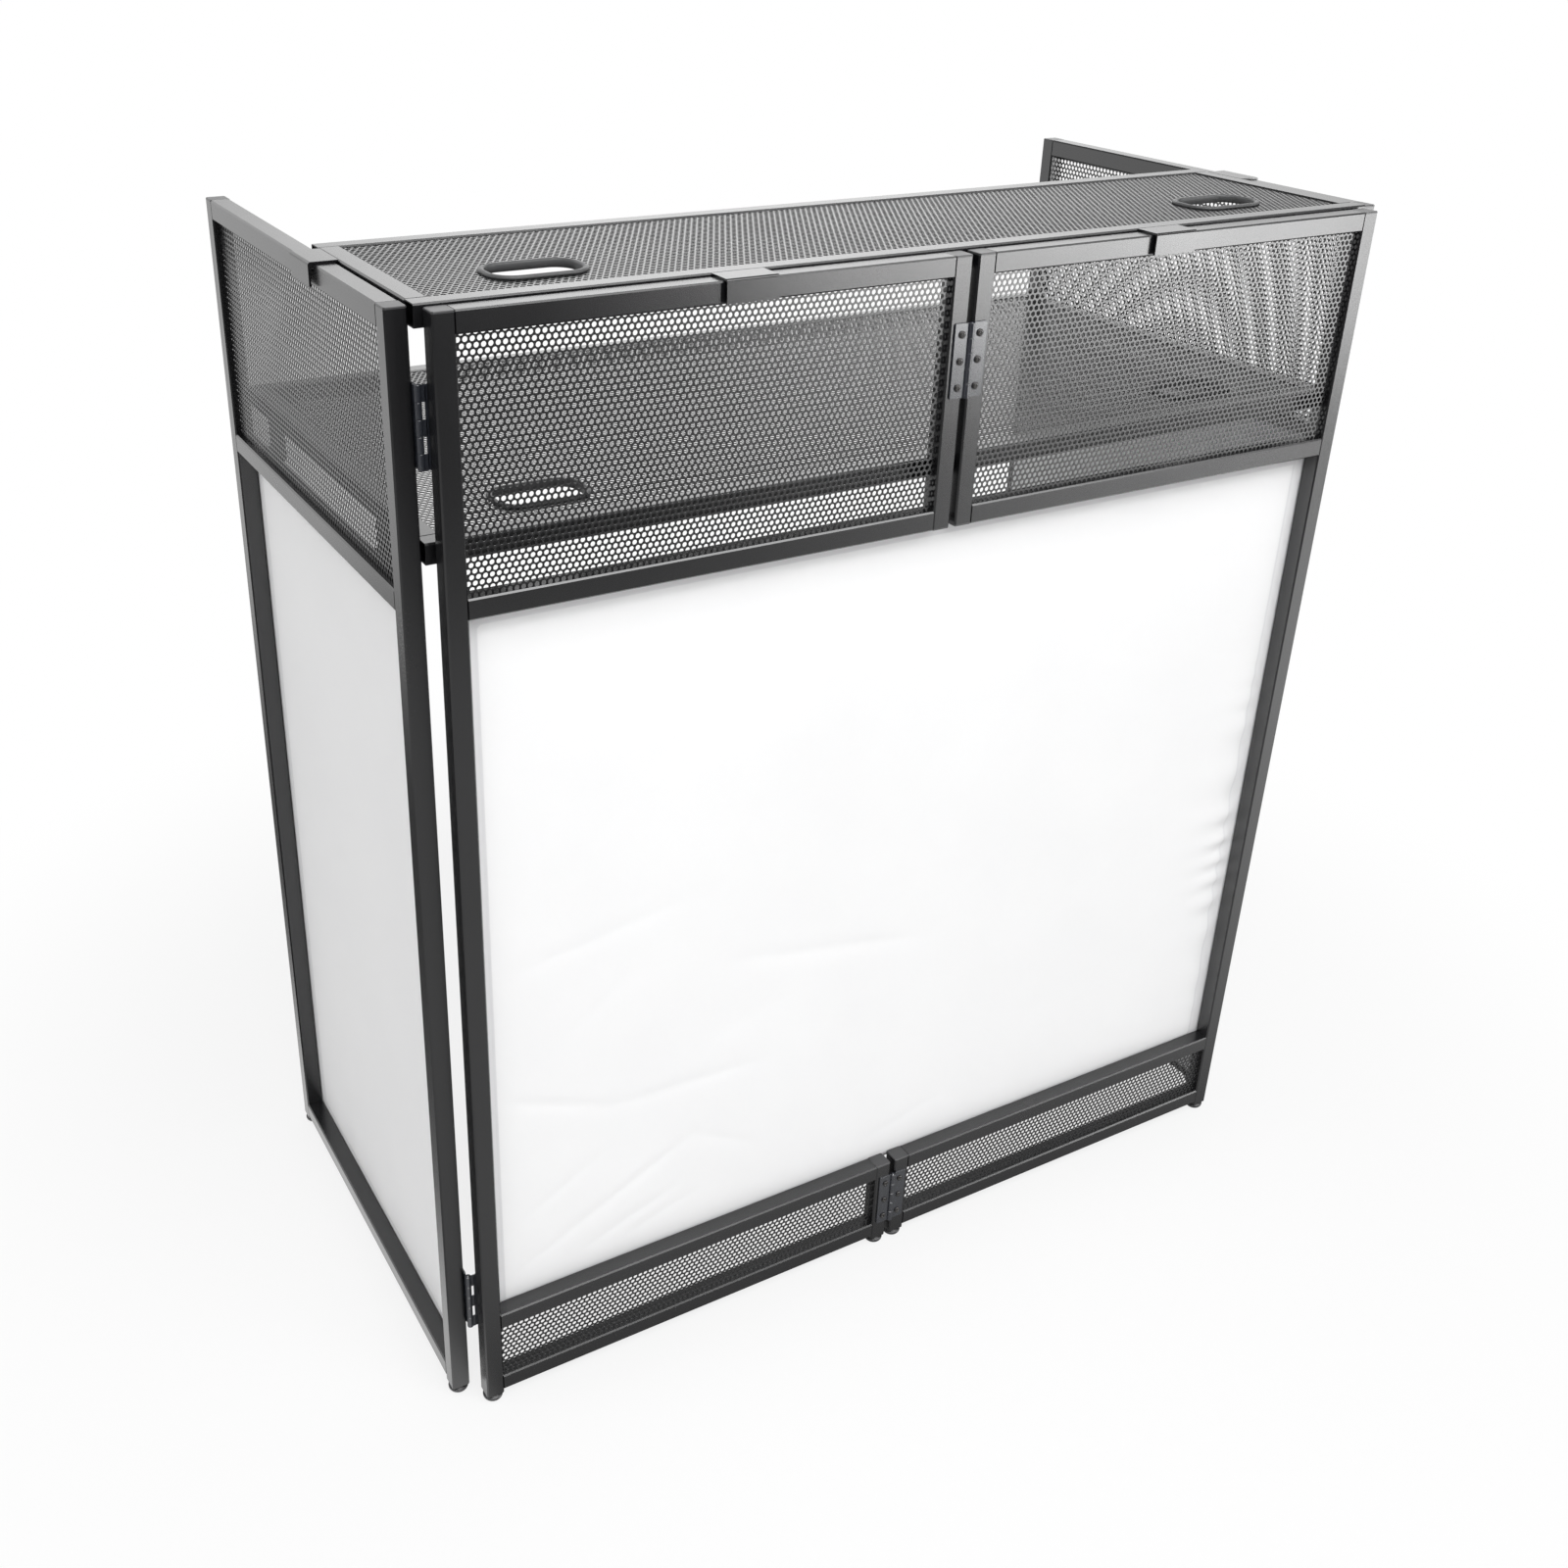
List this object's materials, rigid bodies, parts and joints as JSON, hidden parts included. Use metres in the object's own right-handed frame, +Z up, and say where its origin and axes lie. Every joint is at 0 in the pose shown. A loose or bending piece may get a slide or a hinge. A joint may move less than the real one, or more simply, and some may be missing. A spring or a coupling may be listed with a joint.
{
  "type": "folding dj booth",
  "caption": "Free-standing folding DJ booth: black square-tube panels with perforated sheet and white scrims, a hook-on top shelf and a lower equipment shelf with cable grommets.",
  "frame": {"origin": "on the floor under the middle of the booth's bounding box", "axes": "+X to the right seen from the audience, +Y from the audience side towards the performer, +Z up"},
  "size_m": [1.13, 0.563, 1.204],
  "materials": {
    "powder_coated_tube": "satin black powder coat",
    "perforated_sheet": "satin black powder coat",
    "black_hardware": "black plated",
    "black_plastic": "moulded matt",
    "scrim_fabric": "smooth stretch knit"
  },
  "bodies": {
    "front_left": {"centre_hinge_left_leaves": "black_hardware", "centre_hinge_pins": "black_hardware", "front_left_bottom_rail": "powder_coated_tube", "front_left_caps": "black_plastic", "front_left_feet": "black_plastic", "front_left_inner_posts": "powder_coated_tube", "front_left_lower_mesh": "perforated_sheet", "front_left_lower_rail": "powder_coated_tube", "front_left_mid_rail": "powder_coated_tube", "front_left_outer_post": "powder_coated_tube", "front_left_top_rail": "powder_coated_tube", "front_left_upper_mesh": "perforated_sheet", "front_scrim": "scrim_fabric", "left_corner_front_leaves": "black_hardware", "left_corner_pins": "black_hardware"},
    "front_right": {"centre_hinge_right_leaves": "black_hardware", "front_right_bottom_rail": "powder_coated_tube", "front_right_caps": "black_plastic", "front_right_feet": "black_plastic", "front_right_inner_posts": "powder_coated_tube", "front_right_lower_mesh": "perforated_sheet", "front_right_lower_rail": "powder_coated_tube", "front_right_mid_rail": "powder_coated_tube", "front_right_outer_post": "powder_coated_tube", "front_right_top_rail": "powder_coated_tube", "front_right_upper_mesh": "perforated_sheet", "right_corner_front_leaves": "black_hardware", "right_corner_pins": "black_hardware"},
    "left_wing": {"left_corner_wing_leaves": "black_hardware", "left_wing_bottom_rail": "powder_coated_tube", "left_wing_caps": "black_plastic", "left_wing_feet": "black_plastic", "left_wing_front_post": "powder_coated_tube", "left_wing_mesh": "perforated_sheet", "left_wing_mid_rail": "powder_coated_tube", "left_wing_rear_post": "powder_coated_tube", "left_wing_scrim": "scrim_fabric", "left_wing_top_rail": "powder_coated_tube"},
    "lower_shelf": {"lower_shelf_brackets": "powder_coated_tube", "lower_shelf_deck": "perforated_sheet", "lower_shelf_frame": "powder_coated_tube", "lower_shelf_grommets": "black_plastic"},
    "right_wing": {"right_corner_wing_leaves": "black_hardware", "right_wing_bottom_rail": "powder_coated_tube", "right_wing_caps": "black_plastic", "right_wing_feet": "black_plastic", "right_wing_front_post": "powder_coated_tube", "right_wing_mesh": "perforated_sheet", "right_wing_mid_rail": "powder_coated_tube", "right_wing_rear_post": "powder_coated_tube", "right_wing_scrim": "scrim_fabric", "right_wing_top_rail": "powder_coated_tube"},
    "top_shelf": {"top_shelf_deck": "perforated_sheet", "top_shelf_frame": "powder_coated_tube", "top_shelf_grommets": "black_plastic", "top_shelf_hooks": "powder_coated_tube"}
  },
  "joints": [
    {"name": "centre_fold", "type": "hinge", "parent": "front_left", "child": "front_right", "pos_m": [0, -0.2783, 0.6], "axis": [0, 0, -1], "range_deg": [0, 0.2]},
    {"name": "left_wing_swing", "type": "hinge", "parent": "front_left", "child": "left_wing", "pos_m": [-0.5382, -0.2547, 0.6], "axis": [0, 0, 1], "range_deg": [-0.2, 0.2]},
    {"name": "right_wing_swing", "type": "hinge", "parent": "front_right", "child": "right_wing", "pos_m": [0.5382, -0.2547, 0.6], "axis": [0, 0, -1], "range_deg": [-0.2, 0.2]},
    {"name": "top_shelf_lift", "type": "slide", "parent": "front_left", "child": "top_shelf", "axis": [0, 0, 1], "range_m": [0, 0.3]},
    {"name": "lower_shelf_lift", "type": "slide", "parent": "front_left", "child": "lower_shelf", "axis": [0, 0, 1], "range_m": [0, 0.17]}
  ]
}
